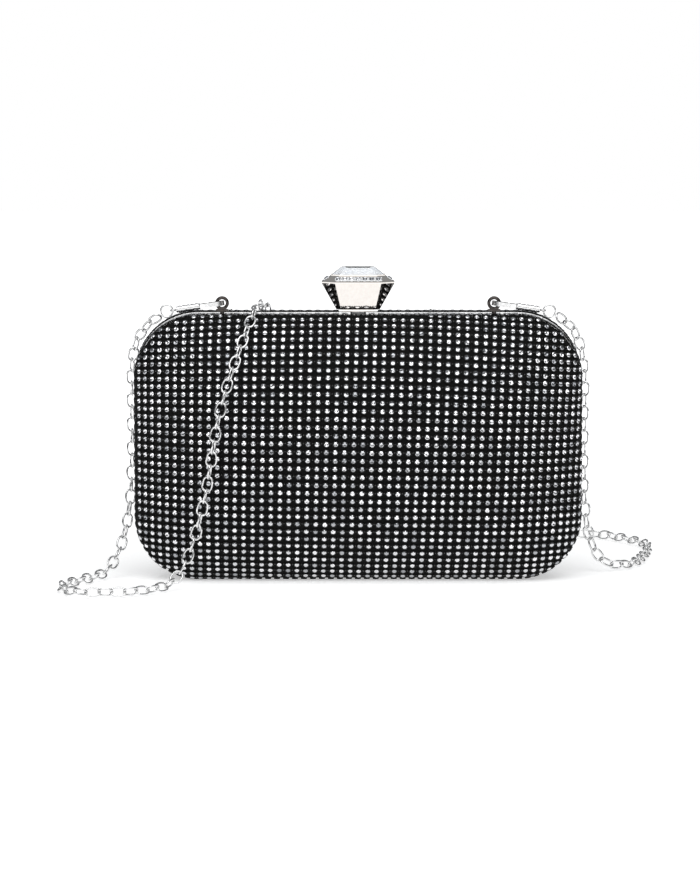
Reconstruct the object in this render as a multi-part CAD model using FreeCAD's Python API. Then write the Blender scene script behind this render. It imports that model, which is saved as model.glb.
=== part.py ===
import FreeCAD, Part

# Evening bag: a hard pillow-shaped clutch of two hinged halves, covered in set stones, with a
# jewelled clasp and a detachable chain. Millimetres. +X right, +Y to the rear, +Z up, origin on
# the standing surface below the middle of the bag.

import math
import os

os.makedirs("parts", exist_ok=True)
V = FreeCAD.Vector
X_AXIS, Y_AXIS, Z_AXIS = V(1, 0, 0), V(0, 1, 0), V(0, 0, 1)

# Driving dimensions of the body
BAG_WIDTH = 200.0
BAG_HEIGHT = 120.0
EDGE_HALF = 6.5          # half of the flat edge that the bag stands on
CROWN = 23.5             # how far each face swells beyond the edge
OUTLINE_RADIUS = 29.0
CORNER_TAPER = 0.35      # how much the corner radius shrinks per millimetre of inset
SWELL_POWER = 4.0 / 3.0
STATIONS = [0, 7, 14, 22, 31, 41, 52, 64, 76, 84]    # degrees along the swell, edge to middle

# Depth below the stones at which each layer of a half begins
COVER_TOP, PADDING_TOP, SHELL_TOP, LINING_TOP, LINING_INSIDE = 0.0, 2.4, 4.4, 5.6, 6.2
LAYERS = {"cover": (COVER_TOP, PADDING_TOP), "padding": (PADDING_TOP, SHELL_TOP),
          "shell": (SHELL_TOP, LINING_TOP), "lining": (LINING_TOP, LINING_INSIDE)}

# Frame: a flange round the mouth and a web behind it
SEAM = 0.15              # half of the gap between the closed halves
FLANGE_Y = 0.9
FLANGE_INSET = 0.5
WEB_INSIDE = 7.2
WEB_Y = 5.0

# Bottom hinges
HINGE_Z = 2.0
HINGE_X = 45.0
KNUCKLE_RADIUS = 1.8
KNUCKLE_LENGTH = 5.8
KNUCKLE_GAP = 0.2
HINGE_PIN_RADIUS = 0.8
PIN_CLEARANCE = 0.05
RELIEF_Y = 2.3           # groove under the bag that the hinges sit in
RELIEF_Z = 4.3
TAB_Y = (0.9, 1.7)
TAB_TOP = 9.5

# Clasp
CLASP_SKIRT_Z = 120.9
GIRDLE_Z = 132.7
GIRDLE_BAND = 0.5
BEZEL_Z = 135.9
BEZEL_HIGH = 0.5
CRYSTAL_STEP_Z = 137.8
CLASP_TOP_Z = 139.7
CLASP_PIN_Z = 125.0
CLASP_PIN_RADIUS = 0.9
NOTCH_X = 3.4

# Chain eyes, hooks and chain
EYE_X, EYE_Y, EYE_Z = 60.5, -1.9, 123.6
EYE_RADIUS, EYE_WIRE = 2.375, 0.725
HOOK_SLOPE = 8.3        # degrees down from the eye towards the shoulder
HOOK_HALF_WIDTH = 3.15
HOOK_THICK = 2.0
GATE_PIVOT_X = 7.4
RING_RADIUS, RING_WIRE = 2.7, 0.4
CHAIN_WIDTH = 5.2

# The strap's route from the left hook's ring to the right hook's ring. It hangs down the left
# side, makes a loop on the surface, rises over the front, crosses the top, drops behind the
# bag, runs out to the right and climbs to the right hook.
FLOOR_Z = CHAIN_WIDTH / 2 + 0.1
ROUTE = [
    (-88.6, -1.5, 118.0), (-94.6, 0.5, 113.9), (-100.3, 3.0, 106.4), (-103.2, 5.5, 95.5),
    (-103.5, 7.5, 80.0), (-103.0, 8.5, 58.0), (-103.3, 7.5, 38.0), (-104.9, 5.5, 22.0),
    (-108.0, 2.0, 10.0), (-112.6, -6.0, FLOOR_Z), (-119.5, -20.0, FLOOR_Z),
    (-127.5, -34.0, FLOOR_Z), (-130.0, -48.5, FLOOR_Z), (-121.5, -59.0, FLOOR_Z),
    (-109.5, -59.5, FLOOR_Z), (-97.0, -57.5, FLOOR_Z), (-87.0, -50.0, FLOOR_Z),
    (-80.5, -40.0, 3.6), (-76.4, -35.5, 10.0), (-72.2, -34.3, 20.0), (-68.4, -34.0, 34.0),
    (-65.0, -34.4, 50.0), (-63.0, -34.0, 68.0), (-59.8, -31.8, 83.0), (-56.0, -28.4, 96.0),
    (-52.0, -23.2, 107.5), (-48.8, -17.0, 116.4), (-46.4, -10.0, 122.4), (-44.4, -3.6, 124.4),
    (-42.4, 4.0, 124.4), (-40.4, 10.4, 122.2), (-38.0, 17.4, 116.0), (-35.4, 23.6, 107.0),
    (-32.8, 29.0, 95.0), (-30.6, 32.6, 81.0), (-29.4, 34.4, 64.0), (-28.0, 34.8, 46.0),
    (-25.4, 37.0, 28.0), (-21.0, 42.0, 13.0), (-12.0, 51.0, 4.0), (4.0, 61.0, FLOOR_Z),
    (30.0, 73.0, FLOOR_Z), (58.0, 91.0, FLOOR_Z), (84.0, 110.0, FLOOR_Z),
    (104.0, 126.0, FLOOR_Z), (119.0, 123.0, FLOOR_Z), (130.0, 108.0, FLOOR_Z),
    (138.5, 91.0, FLOOR_Z), (138.0, 72.0, FLOOR_Z), (132.5, 52.0, FLOOR_Z),
    (126.5, 34.0, FLOOR_Z), (117.5, 24.5, 3.2), (109.5, 21.0, 8.0), (105.0, 17.5, 18.0),
    (103.4, 14.0, 33.0), (103.0, 11.0, 52.0), (103.6, 8.5, 72.0), (103.4, 6.5, 90.0),
    (102.0, 4.5, 101.0), (97.4, 2.0, 110.6), (92.0, 0.0, 115.9), (88.6, -1.5, 118.0),
]
CHAIN_PARTS = [("chain_left", 0, 26), ("chain_crossing", 26, 31), ("chain_rear_drop", 31, 39),
               ("chain_right", 39, 61)]


def save(name, shape):
    shape.exportStep("parts/" + name + ".step")


def box(x, y, z):
    """A box from three (low, high) pairs."""
    return Part.makeBox(x[1] - x[0], y[1] - y[0], z[1] - z[0], V(x[0], y[0], z[0]))


def rod(radius, start, end):
    along = end - start
    return Part.makeCylinder(radius, along.Length, start, along)


def mirrored_x(shape):
    return shape.mirror(V(0, 0, 0), X_AXIS)


def mirrored_y(shape):
    return shape.mirror(V(0, 0, 0), Y_AXIS)


def rounded_outline(inset, y):
    """The bag's outline moved inwards by inset, as a wire in the plane at y."""
    half_x = BAG_WIDTH / 2 - inset
    half_z = BAG_HEIGHT / 2 - inset
    radius = min(OUTLINE_RADIUS - CORNER_TAPER * inset, half_z - 0.5)
    middle = BAG_HEIGHT / 2
    edges = []
    corner_signs = [(1, 1), (-1, 1), (-1, -1), (1, -1)]
    for number, (sx, sz) in enumerate(corner_signs):
        centre = V(sx * (half_x - radius), y, middle + sz * (half_z - radius))
        first = math.radians(90 * number)
        arc_points = []
        for turn in (0.0, 0.5, 1.0):
            angle = first + turn * math.pi / 2
            offset = V(math.cos(angle), 0, math.sin(angle)) * radius
            arc_points.append(centre + offset)
        if edges:
            edges.append(Part.LineSegment(last, arc_points[0]).toShape())
        else:
            opening = arc_points[0]
        edges.append(Part.Arc(*arc_points).toShape())
        last = arc_points[2]
    edges.append(Part.LineSegment(last, opening).toShape())
    return Part.Wire(edges)


def pillow(layer, start_y):
    """The solid of the rear half inside the surface that lies layer below the stones."""
    wires = [rounded_outline(layer, start_y)]
    for station in STATIONS:
        angle = math.radians(station)
        inset = layer + (BAG_HEIGHT / 2 - layer) * (1 - math.cos(angle))
        depth = EDGE_HALF + (CROWN - layer) * math.sin(angle) ** SWELL_POWER
        wires.append(rounded_outline(inset, depth))
    return Part.makeLoft(wires, True, True)


def band(outer, inner, start_y, end_y):
    """A flat ring that follows the bag's outline, between two insets."""
    along = V(0, end_y - start_y, 0)
    whole = Part.Face(rounded_outline(outer, start_y)).extrude(along)
    return whole.cut(Part.Face(rounded_outline(inner, start_y)).extrude(along))


def hinge_starts():
    """The low X of each hinge's three knuckles: front, rear, front."""
    step = KNUCKLE_LENGTH + KNUCKLE_GAP
    for side in (-1, 1):
        yield side, [side * HINGE_X + step * number - 1.5 * step for number in range(3)]


def knuckle(start, side_y):
    """One hinge knuckle with its tab, on the rear half's side when side_y is 1."""
    end = start + KNUCKLE_LENGTH
    barrel = rod(KNUCKLE_RADIUS, V(start, 0, HINGE_Z), V(end, 0, HINGE_Z))
    tab_y = sorted(side_y * y for y in TAB_Y)
    whole = barrel.fuse(box((start, end), tab_y, (HINGE_Z, TAB_TOP)))
    hole = rod(HINGE_PIN_RADIUS + PIN_CLEARANCE, V(start - 1, 0, HINGE_Z), V(end + 1, 0, HINGE_Z))
    return whole.cut(hole).removeSplitter()


def hinge_pockets(side_y):
    """What each half leaves free for the hinges: the groove, and the room for the tabs."""
    reach = BAG_WIDTH / 2
    pockets = [box((-reach, reach), (-RELIEF_Y, RELIEF_Y), (-1, HINGE_Z))]
    margin = 0.4
    for side, starts in hinge_starts():
        span = (starts[0] - margin, starts[2] + KNUCKLE_LENGTH + margin)
        pockets.append(box(span, (-RELIEF_Y, RELIEF_Y), (-1, RELIEF_Z)))
        for number, start in enumerate(starts):
            if (number == 1) == (side_y == 1):
                tab_y = sorted(side_y * y for y in TAB_Y)
                pockets.append(box((start, start + KNUCKLE_LENGTH), tab_y, (HINGE_Z, TAB_TOP)))
    return pockets


def eye_shank(radius, low_z):
    return rod(radius, V(EYE_X, EYE_Y, low_z), V(EYE_X, EYE_Y, BAG_HEIGHT))


EYE_SHANK_RADIUS = 0.95
EYE_SHANK_END = 110.4
LATCH_NOTCH = ((-NOTCH_X, NOTCH_X), (-1.7, 2.4), (114.4, BAG_HEIGHT + 1))


def make_half(name, side_y):
    """The five nested layers of one half: cover, padding, shell, lining and frame."""
    tools = hinge_pockets(side_y)
    tools.append(box(*LATCH_NOTCH))
    if side_y == -1:
        shank = eye_shank(EYE_SHANK_RADIUS, EYE_SHANK_END)
        tools += [shank, mirrored_x(shank)]
    solids = {}
    depths = sorted({depth for pair in LAYERS.values() for depth in pair})
    pillows = {depth: pillow(depth, FLANGE_Y) for depth in depths}
    for layer, (outer, inner) in LAYERS.items():
        solids[layer] = pillows[outer].cut(pillows[inner])
    flange = band(FLANGE_INSET, WEB_INSIDE, SEAM, FLANGE_Y)
    web = band(LINING_INSIDE, WEB_INSIDE, FLANGE_Y, WEB_Y)
    solids["frame"] = flange.fuse(web).removeSplitter()
    for layer, solid in solids.items():
        if side_y == -1:
            solid = mirrored_y(solid)
        for tool in tools:
            solid = solid.cut(tool)
        save(name + "_" + layer, solid)
    return pillows[LINING_INSIDE]


def make_pocket(inside):
    """A slip pocket: a flat wall across the lower part of the rear half."""
    wall = box((-42, 42), (13.0, 13.8), (10, 78))
    save("rear_slip_pocket", wall.common(inside))


def make_gussets():
    """Folded side gussets between the two halves, inside the frame."""
    edge = BAG_WIDTH / 2 - WEB_INSIDE - 0.05
    fold_depth = 4.0
    thick = 0.5
    outline = [(edge, -WEB_Y), (edge - fold_depth, 0), (edge, WEB_Y), (edge - thick, WEB_Y + thick),
               (edge - fold_depth - 2 * thick, 0), (edge - thick, -WEB_Y - thick)]
    low_z, high_z = 34.0, 88.0
    points = [V(x, y, low_z) for x, y in outline]
    gusset = Part.Face(Part.makePolygon(points + points[:1])).extrude(V(0, 0, high_z - low_z))
    save("gusset_right", gusset)
    save("gusset_left", mirrored_x(gusset))


def make_hinges():
    front, rear, pins = [], [], []
    for side, starts in hinge_starts():
        front.append(knuckle(starts[0], -1))
        front.append(knuckle(starts[2], -1))
        rear.append(knuckle(starts[1], 1))
        end = starts[2] + KNUCKLE_LENGTH
        pins.append(rod(HINGE_PIN_RADIUS, V(starts[0], 0, HINGE_Z), V(end, 0, HINGE_Z)))
    save("hinge_front_knuckles", Part.Compound(front))
    save("hinge_rear_knuckles", Part.Compound(rear))
    save("hinge_pins", Part.Compound(pins))


def octagon(half_x, half_y, corner, z):
    """A rectangle with cut corners, as a wire at height z."""
    points = []
    for sx, sy in ((1, 1), (-1, 1), (-1, -1), (1, -1)):
        along_x = V(sx * (half_x - corner), sy * half_y, z)
        along_y = V(sx * half_x, sy * (half_y - corner), z)
        points += [along_y, along_x] if sx * sy > 0 else [along_x, along_y]
    return Part.makePolygon(points + points[:1])


GIRDLE = (16.2, 11.0, 6.0)
CROWN_TOP = (12.0, 7.2, 3.6)
CRYSTAL_BASE = (11.3, 6.6, 3.3)


def make_clasp():
    base = box((-7, 7), (-3.6, 3.6), (BAG_HEIGHT + 0.3, BAG_HEIGHT + 1.8))
    base = base.fuse(box((-7, 7), (-3.6, -FLANGE_Y), (BAG_HEIGHT, BAG_HEIGHT + 0.3)))
    base = base.cut(box((-NOTCH_X, NOTCH_X), (-1.8, 2.2), (BAG_HEIGHT - 1, BAG_HEIGHT + 3)))
    pin_hole = rod(CLASP_PIN_RADIUS + PIN_CLEARANCE, V(-9, 0, CLASP_PIN_Z), V(9, 0, CLASP_PIN_Z))
    lug_x, lug_thick, lug_half = 4.4, 1.2, 1.9
    for side in (-1, 1):
        near = sorted((side * lug_x, side * (lug_x + lug_thick)))
        base = base.fuse(box(near, (-lug_half, lug_half), (BAG_HEIGHT + 1, CLASP_PIN_Z + 1.9)))
    save("clasp_base", base.cut(pin_hole).removeSplitter())

    skirt = octagon(9.6, 5.7, 2.0, CLASP_SKIRT_Z)
    girdle = octagon(*GIRDLE, GIRDLE_Z)
    upper_girdle = octagon(*GIRDLE, GIRDLE_Z + GIRDLE_BAND)
    crown = octagon(*CROWN_TOP, BEZEL_Z)
    gem = Part.makeLoft([skirt, girdle, upper_girdle, crown], True, True)
    cavity = box((-7.7, 7.7), (-4.9, 4.9), (CLASP_SKIRT_Z - 1, 128.2))
    pin_half = 8.6
    pin = rod(CLASP_PIN_RADIUS, V(-pin_half, 0, CLASP_PIN_Z), V(pin_half, 0, CLASP_PIN_Z))
    save("clasp_body", gem.cut(cavity).cut(pin))
    save("clasp_pin", pin)

    latch_x = (-2.8, 2.8)
    blade = box(latch_x, (0.95, 1.55), (117.6, 128.2))
    step = box(latch_x, (0.15, 0.95), (117.6, 118.2))
    foot = box(latch_x, (0.15, 0.75), (115.0, 117.6))
    nose = box(latch_x, (0.75, 1.5), (115.0, 115.9))
    save("clasp_latch", blade.fuse([step, foot, nose]).removeSplitter())
    save("latch_catch", box((-NOTCH_X, NOTCH_X), (FLANGE_Y, 2.4), (116.3, 117.2)))

    spring_x, spring_length = 3.0, 1.2
    spring = rod(1.7, V(spring_x, 0, CLASP_PIN_Z), V(spring_x + spring_length, 0, CLASP_PIN_Z))
    spring = spring.cut(rod(CLASP_PIN_RADIUS + 0.06, V(0, 0, CLASP_PIN_Z), V(9, 0, CLASP_PIN_Z)))
    save("clasp_spring", spring)

    rim_inner = Part.Face(octagon(*CRYSTAL_BASE, BEZEL_Z)).extrude(V(0, 0, 2))
    rim_outer = Part.Face(octagon(*CROWN_TOP, BEZEL_Z)).extrude(V(0, 0, BEZEL_HIGH))
    save("clasp_bezel", rim_outer.cut(rim_inner))
    stone_wires = [octagon(*CRYSTAL_BASE, BEZEL_Z), octagon(*CRYSTAL_BASE, BEZEL_Z + BEZEL_HIGH),
                   octagon(9.8, 5.6, 2.8, CRYSTAL_STEP_Z), octagon(7.2, 4.0, 2.0, CLASP_TOP_Z)]
    save("clasp_crystal", Part.makeLoft(stone_wires, True, True))
    make_pave(Part.makeLoft([upper_girdle, crown], True, True))


def make_pave(crown_solid):
    """Small round stones set along the four sloping sides of the clasp's crown."""
    stone_radius, stand = 1.15, 0.35
    rise = BEZEL_Z - GIRDLE_Z - GIRDLE_BAND
    middle_z = GIRDLE_Z + GIRDLE_BAND + rise / 2
    stones = []
    rows = [(GIRDLE[1], CROWN_TOP[1], 7, 2.95, 0), (GIRDLE[0], CROWN_TOP[0], 3, 2.75, 90)]
    for low_half, high_half, count, pitch, turn in rows:
        run = low_half - high_half
        slope = math.hypot(run, rise)
        outward = V(0, -rise / slope, run / slope)
        for number in range(count):
            along = (number - (count - 1) / 2) * pitch
            seat = V(along, -(low_half + high_half) / 2, middle_z)
            stone = Part.makeCylinder(stone_radius, 0.9, seat - outward * (0.9 - stand), outward)
            for half_turn in (0, 180):
                turned = stone.copy()
                turned.rotate(V(0, 0, 0), Z_AXIS, turn + half_turn)
                stones.append(turned.cut(crown_solid))
    save("clasp_pave_stones", Part.Compound(stones))


def make_eyes():
    """A ring on a stepped base at each side of the clasp, riveted through the front half."""
    ring = Part.makeTorus(EYE_RADIUS, EYE_WIRE, V(EYE_X, EYE_Y, EYE_Z), Y_AXIS)
    low = box((EYE_X - 2.75, EYE_X + 2.75), (-3.6, -FLANGE_Y + 0.4), (BAG_HEIGHT, BAG_HEIGHT + 0.9))
    high = box((EYE_X - 2, EYE_X + 2), (-3.1, -FLANGE_Y), (BAG_HEIGHT + 0.9, BAG_HEIGHT + 1.8))
    eye = ring.fuse([low, high, eye_shank(EYE_SHANK_RADIUS, EYE_SHANK_END)]).removeSplitter()
    save("chain_eye_right", eye)
    save("chain_eye_left", mirrored_x(eye))
    web_z = BAG_HEIGHT - WEB_INSIDE
    washer = rod(1.7, V(EYE_X, EYE_Y, web_z - 0.9), V(EYE_X, EYE_Y, web_z))
    washer = washer.cut(eye_shank(EYE_SHANK_RADIUS, EYE_SHANK_END))
    save("eye_washers", Part.Compound([washer, mirrored_x(washer)]))


def stadium(x_low, x_high, half_width, thick):
    """A plate with round ends along X, centred on Z."""
    plate = box((x_low + half_width, x_high - half_width), (-half_width, half_width), (0, thick))
    for x in (x_low + half_width, x_high - half_width):
        plate = plate.fuse(Part.makeCylinder(half_width, thick, V(x, 0, 0)))
    plate.translate(V(0, 0, -thick / 2))
    return plate.removeSplitter()


def hook_pieces():
    """The right hook's pieces in its own frame: the eye's centre is the origin, +X outwards."""
    tip_x, heel_x, wall = -1.0, 10.6, 1.3
    loop = stadium(tip_x, heel_x, HOOK_HALF_WIDTH, HOOK_THICK)
    loop = loop.cut(stadium(tip_x + wall, GATE_PIVOT_X + 0.6, HOOK_HALF_WIDTH - wall, HOOK_THICK))
    gap = 0.15
    gate_y = HOOK_HALF_WIDTH - wall
    centre_y = HOOK_HALF_WIDTH - wall / 2
    hub_radius, lug_low = 1.0, 0.5
    window = box((1.6, GATE_PIVOT_X), (gate_y - 0.6, 5), (-3, 3))
    clevis = Part.makeCylinder(hub_radius + gap, 2 * lug_low, V(GATE_PIVOT_X, centre_y, -lug_low))
    pin = Part.makeCylinder(0.35, HOOK_THICK, V(GATE_PIVOT_X, centre_y, -HOOK_THICK / 2))
    body = loop.cut(window).cut(clevis).cut(pin)

    arm = box((1.6 + gap, GATE_PIVOT_X - hub_radius - gap), (gate_y, gate_y + wall),
              (-HOOK_THICK / 2, HOOK_THICK / 2))
    neck = box((GATE_PIVOT_X - 2.2, GATE_PIVOT_X), (gate_y + 0.2, gate_y + wall - 0.2), (-0.4, 0.0))
    hub = Part.makeCylinder(hub_radius, 0.5, V(GATE_PIVOT_X, centre_y, -0.45))
    pin_room = Part.makeCylinder(0.35 + PIN_CLEARANCE, 4, V(GATE_PIVOT_X, centre_y, -2))
    gate = arm.fuse([neck, hub]).cut(pin_room).removeSplitter()
    spring = Part.makeCylinder(0.85, 0.3, V(GATE_PIVOT_X, centre_y, 0.12)).cut(pin_room)

    barrel = rod(1.35, V(heel_x - 0.8, 0, 0), V(20.6, 0, 0))
    ribs = 5
    for number in range(ribs):
        start = heel_x + 0.2 + number * 1.9
        barrel = barrel.fuse(rod(1.6, V(start, 0, 0), V(start + 1.2, 0, 0)))
    body = body.fuse(barrel).removeSplitter()
    swivel = Part.makeTorus(1.2, 0.45, V(21.9, 0, 0), Z_AXIS).cut(barrel)
    ring = Part.makeTorus(RING_RADIUS, RING_WIRE, V(24.9, 0, 0), Y_AXIS)
    return {"hook_body": body, "hook_gate": gate, "hook_gate_pin": pin, "hook_spring": spring,
            "hook_swivel": swivel, "hook_ring": ring}


def make_hooks():
    for name, shape in hook_pieces().items():
        shape.rotate(V(0, 0, 0), Y_AXIS, HOOK_SLOPE)
        shape.translate(V(EYE_X, EYE_Y, EYE_Z))
        save(name + "_right", shape)
        save(name + "_left", mirrored_x(shape))


def tube(name, points):
    """A round tube along straight runs joined by tangent arcs, as large as the runs allow."""
    edges = []
    start = points[0]
    tightest = None
    for before, corner, after in zip(points, points[1:], points[2:]):
        to_before, to_after = (before - corner), (after - corner)
        turn = math.pi - to_before.getAngle(to_after)
        leg = 0.45 * min(to_before.Length, to_after.Length)
        radius = leg / math.tan(turn / 2)
        tightest = min(radius, tightest or radius)
        enter = corner + to_before.normalize() * leg
        leave = corner + to_after.normalize() * leg
        inward = (enter + leave) * 0.5 - corner
        to_centre = inward.normalize() * (radius / math.cos(turn / 2))
        middle = corner + to_centre - inward * radius
        edges.append(Part.LineSegment(start, enter).toShape())
        edges.append(Part.Arc(enter, middle, leave).toShape())
        start = leave
    edges.append(Part.LineSegment(start, points[-1]).toShape())
    path = Part.Wire(edges)
    section = Part.Wire(Part.makeCircle(CHAIN_WIDTH / 2, points[0], points[1] - points[0]))
    solid = path.makePipeShell([section], True, False)
    expected = math.pi * (CHAIN_WIDTH / 2) ** 2 * path.Length
    print(name, "length", round(path.Length, 1), "volume ratio", round(solid.Volume / expected, 4),
          "tightest radius", round(tightest, 1))
    save(name, solid)
    return path.Length


def make_chain():
    """The strap in four lengths that meet face to face in the middle of a run."""
    corners = [V(*point) for point in ROUTE]
    last_run = len(corners) - 1
    total = 0.0
    for name, first, final in CHAIN_PARTS:
        start = corners[0] if first == 0 else (corners[first] + corners[first + 1]) * 0.5
        end = corners[-1] if final == last_run else (corners[final] + corners[final + 1]) * 0.5
        inner = corners[first + 1:final + 1]
        if final == last_run:
            inner = corners[first + 1:final]
        total += tube(name, [start] + inner + [end])
    print("chain length", round(total, 1))


make_half("front", -1)
make_pocket(make_half("rear", 1))
make_gussets()
make_hinges()
make_clasp()
make_eyes()
make_hooks()
make_chain()
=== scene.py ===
import math

import bmesh
import bpy
import numpy as np
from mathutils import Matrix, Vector


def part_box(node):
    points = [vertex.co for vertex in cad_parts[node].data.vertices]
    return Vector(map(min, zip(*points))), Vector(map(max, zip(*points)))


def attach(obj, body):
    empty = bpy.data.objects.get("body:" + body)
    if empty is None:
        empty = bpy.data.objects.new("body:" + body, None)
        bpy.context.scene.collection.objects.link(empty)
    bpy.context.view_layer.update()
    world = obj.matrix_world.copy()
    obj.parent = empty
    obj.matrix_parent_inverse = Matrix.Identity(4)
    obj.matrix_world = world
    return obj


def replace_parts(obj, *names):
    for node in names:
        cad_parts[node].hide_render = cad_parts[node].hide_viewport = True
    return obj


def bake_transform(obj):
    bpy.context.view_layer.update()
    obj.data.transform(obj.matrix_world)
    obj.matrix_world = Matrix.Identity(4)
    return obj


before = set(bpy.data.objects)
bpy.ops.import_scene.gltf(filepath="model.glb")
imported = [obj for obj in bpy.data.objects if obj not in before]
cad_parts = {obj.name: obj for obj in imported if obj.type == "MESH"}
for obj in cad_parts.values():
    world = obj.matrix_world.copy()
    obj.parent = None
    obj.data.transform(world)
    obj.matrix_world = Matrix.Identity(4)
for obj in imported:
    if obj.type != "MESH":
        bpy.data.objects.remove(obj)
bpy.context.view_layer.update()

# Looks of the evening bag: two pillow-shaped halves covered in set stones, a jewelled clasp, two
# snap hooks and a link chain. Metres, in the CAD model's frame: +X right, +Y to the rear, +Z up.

rng = np.random.default_rng(7)

# The bag's body, the same as the CAD model's
HALF_X = 0.100
HALF_Z = 0.060
HEIGHT = 2 * HALF_Z
EDGE_HALF = 0.0065
CROWN = 0.0235
OUTLINE_RADIUS = 0.029
CORNER_TAPER = 0.35
SWELL_POWER = 4 / 3
COVER_BASE = 0.0009        # the cloth lies this far below the tops of the stones
COVER_BACK = 0.0022
PADDING = (0.0025, 0.0043)
LINING = (0.0057, 0.0062)
LAYER_START_Y = 0.0009      # every layer's edge stands this far from the seam

# Where the soft layers' edges are drawn back from the seam, and where stones are left out
LATCH_NOTCH_X = 0.0110
LATCH_NOTCH_Z = 0.1120
HINGE_NOTCH_X = (0.0290, 0.0610)
HINGE_NOTCH_Z = 0.0080
NOTCH_Y = 0.0028
METAL_ROOM_X = 0.0016
METAL_ROOM_Y = 0.0012
TILT_ROOM = 0.0036         # left free behind the clasp, which tilts backwards
HINGE_CLEAR_Y = 0.004
HINGE_CLEAR_Z = 0.006
FRONT_DROP = 0.0010        # the front half's top edge is lower and the rear one's higher, so that
REAR_RISE = 0.0003         # the frame shows between them

# Stones
COLUMN_PITCH = 0.00400
ROW_PITCH = 0.00370
STONE_RADIUS = 0.00122
STONE_TILT = 0.07          # radians
SEAT_DEPTH = 0.00045       # the girdle lies this far below the face's outermost surface
EDGE_GAP = 0.0004          # no stone of the face stands nearer to the outline
RING_YS = (0.0024, 0.0056)
RING_PITCH = 0.00401
RING_CLEAR = 0.0026
CUP_OUTER = 0.00150
CUP_RIM = 0.00020          # the collar's rim above the stone's girdle
KNOB_RADIUS = 0.00036

# How the lattice of stones departs from a straight one: its rows bow at the sides and slope
# down to the right, its columns lean, spread upwards and stand a little to the left
BOW_REACH = 0.085
BOW_TOP = 0.0036
BOW_BOTTOM = 0.0013
ROW_SLOPE = 0.012
COLUMN_LEAN = 0.0267
COLUMN_SPREAD = 0.015
COLUMN_SHIFT = 0.0020

# Clasp, the same as the CAD model's
GIRDLE_HALF = (0.0162, 0.0110)
GIRDLE_TOP_Z = 0.1332
CROWN_HALF = (0.0120, 0.0072)
BEZEL_Z = 0.1359
PAVE_RADIUS = 0.00115
PAVE_BEAD_RADIUS = 0.00032
PAVE_LONG_ROW = (7, 0.00295)       # stones and pitch, front and back
PAVE_SHORT_ROW = (3, 0.00275)      # stones and pitch, at the two ends

# Chain
LINK_LENGTH = 0.0073
LINK_WIDTH = 0.0053
LINK_WIRE = 0.00090
LINK_PITCH = LINK_LENGTH - 2 * LINK_WIRE
LYING_Z = 0.0027

# The strap's route: the CAD model's points, some of them moved by up to 7.1 mm. It goes
# down the left side, makes a loop on the surface, crosses the front and the top, drops behind the
# bag, and goes out to the right and up to the right hook.
ROUTE = [
    (-0.0886, -0.0015, 0.1178), (-0.0946, 0.0020, 0.1137), (-0.0998, 0.0065, 0.1058),
    (-0.1020, 0.0110, 0.0955), (-0.1021, 0.0142, 0.0800), (-0.1021, 0.0147, 0.0580),
    (-0.1025, 0.0125, 0.0380), (-0.1044, 0.0085, 0.0215), (-0.1082, 0.0010, 0.0092),
    (-0.1130, -0.0080, LYING_Z), (-0.1200, -0.0210, LYING_Z), (-0.1275, -0.0340, LYING_Z),
    (-0.1300, -0.0485, LYING_Z), (-0.1215, -0.0592, LYING_Z), (-0.1095, -0.0597, LYING_Z),
    (-0.0970, -0.0575, LYING_Z), (-0.0870, -0.0500, LYING_Z), (-0.0805, -0.0400, 0.0036),
    (-0.0764, -0.0355, 0.0100), (-0.0722, -0.0343, 0.0200), (-0.0684, -0.0340, 0.0340),
    (-0.0650, -0.0344, 0.0500), (-0.0625, -0.0340, 0.0680), (-0.0592, -0.0318, 0.0830),
    (-0.0552, -0.0280, 0.0955), (-0.0512, -0.0225, 0.1065), (-0.0480, -0.0160, 0.1152),
    (-0.0458, -0.0095, 0.1208), (-0.0440, -0.0036, 0.1226), (-0.0424, 0.0040, 0.1228),
    (-0.0404, 0.0104, 0.1208), (-0.0380, 0.0170, 0.1152), (-0.0354, 0.0230, 0.1065),
    (-0.0328, 0.0285, 0.0950), (-0.0306, 0.0320, 0.0810), (-0.0294, 0.0336, 0.0640),
    (-0.0280, 0.0342, 0.0460), (-0.0254, 0.0366, 0.0280), (-0.0210, 0.0420, 0.0130),
    (-0.0120, 0.0510, 0.0040), (0.0040, 0.0610, LYING_Z), (0.0300, 0.0730, LYING_Z),
    (0.0580, 0.0910, LYING_Z), (0.0840, 0.1100, LYING_Z), (0.1040, 0.1260, LYING_Z),
    (0.1190, 0.1230, LYING_Z), (0.1300, 0.1080, LYING_Z), (0.1385, 0.0910, LYING_Z),
    (0.1380, 0.0720, LYING_Z), (0.1330, 0.0480, LYING_Z), (0.1275, 0.0270, LYING_Z),
    (0.1185, 0.0175, LYING_Z), (0.1105, 0.0170, 0.0045), (0.1050, 0.0160, 0.0150),
    (0.1025, 0.0155, 0.0320), (0.1021, 0.0152, 0.0520), (0.1021, 0.0145, 0.0720),
    (0.1021, 0.0125, 0.0900), (0.1009, 0.0085, 0.1018), (0.0969, 0.0045, 0.1114),
    (0.0922, 0.0010, 0.1160), (0.0886, -0.0015, 0.1178),
]
CHAIN_PARTS = [("chain_left", 0, 26, 0.360), ("chain_crossing", 26, 31, 0.042),
               ("chain_rear_drop", 31, 39, 0.128), ("chain_right", 39, 61, 0.380)]

# Camera
CAMERA_LENS = 121.0
CAMERA_PLACE = (-0.0036, -1.300, 0.200)
CAMERA_DROP = 5.945        # degrees below the level


# ---- Node materials -------------------------------------------------------------------------

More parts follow.
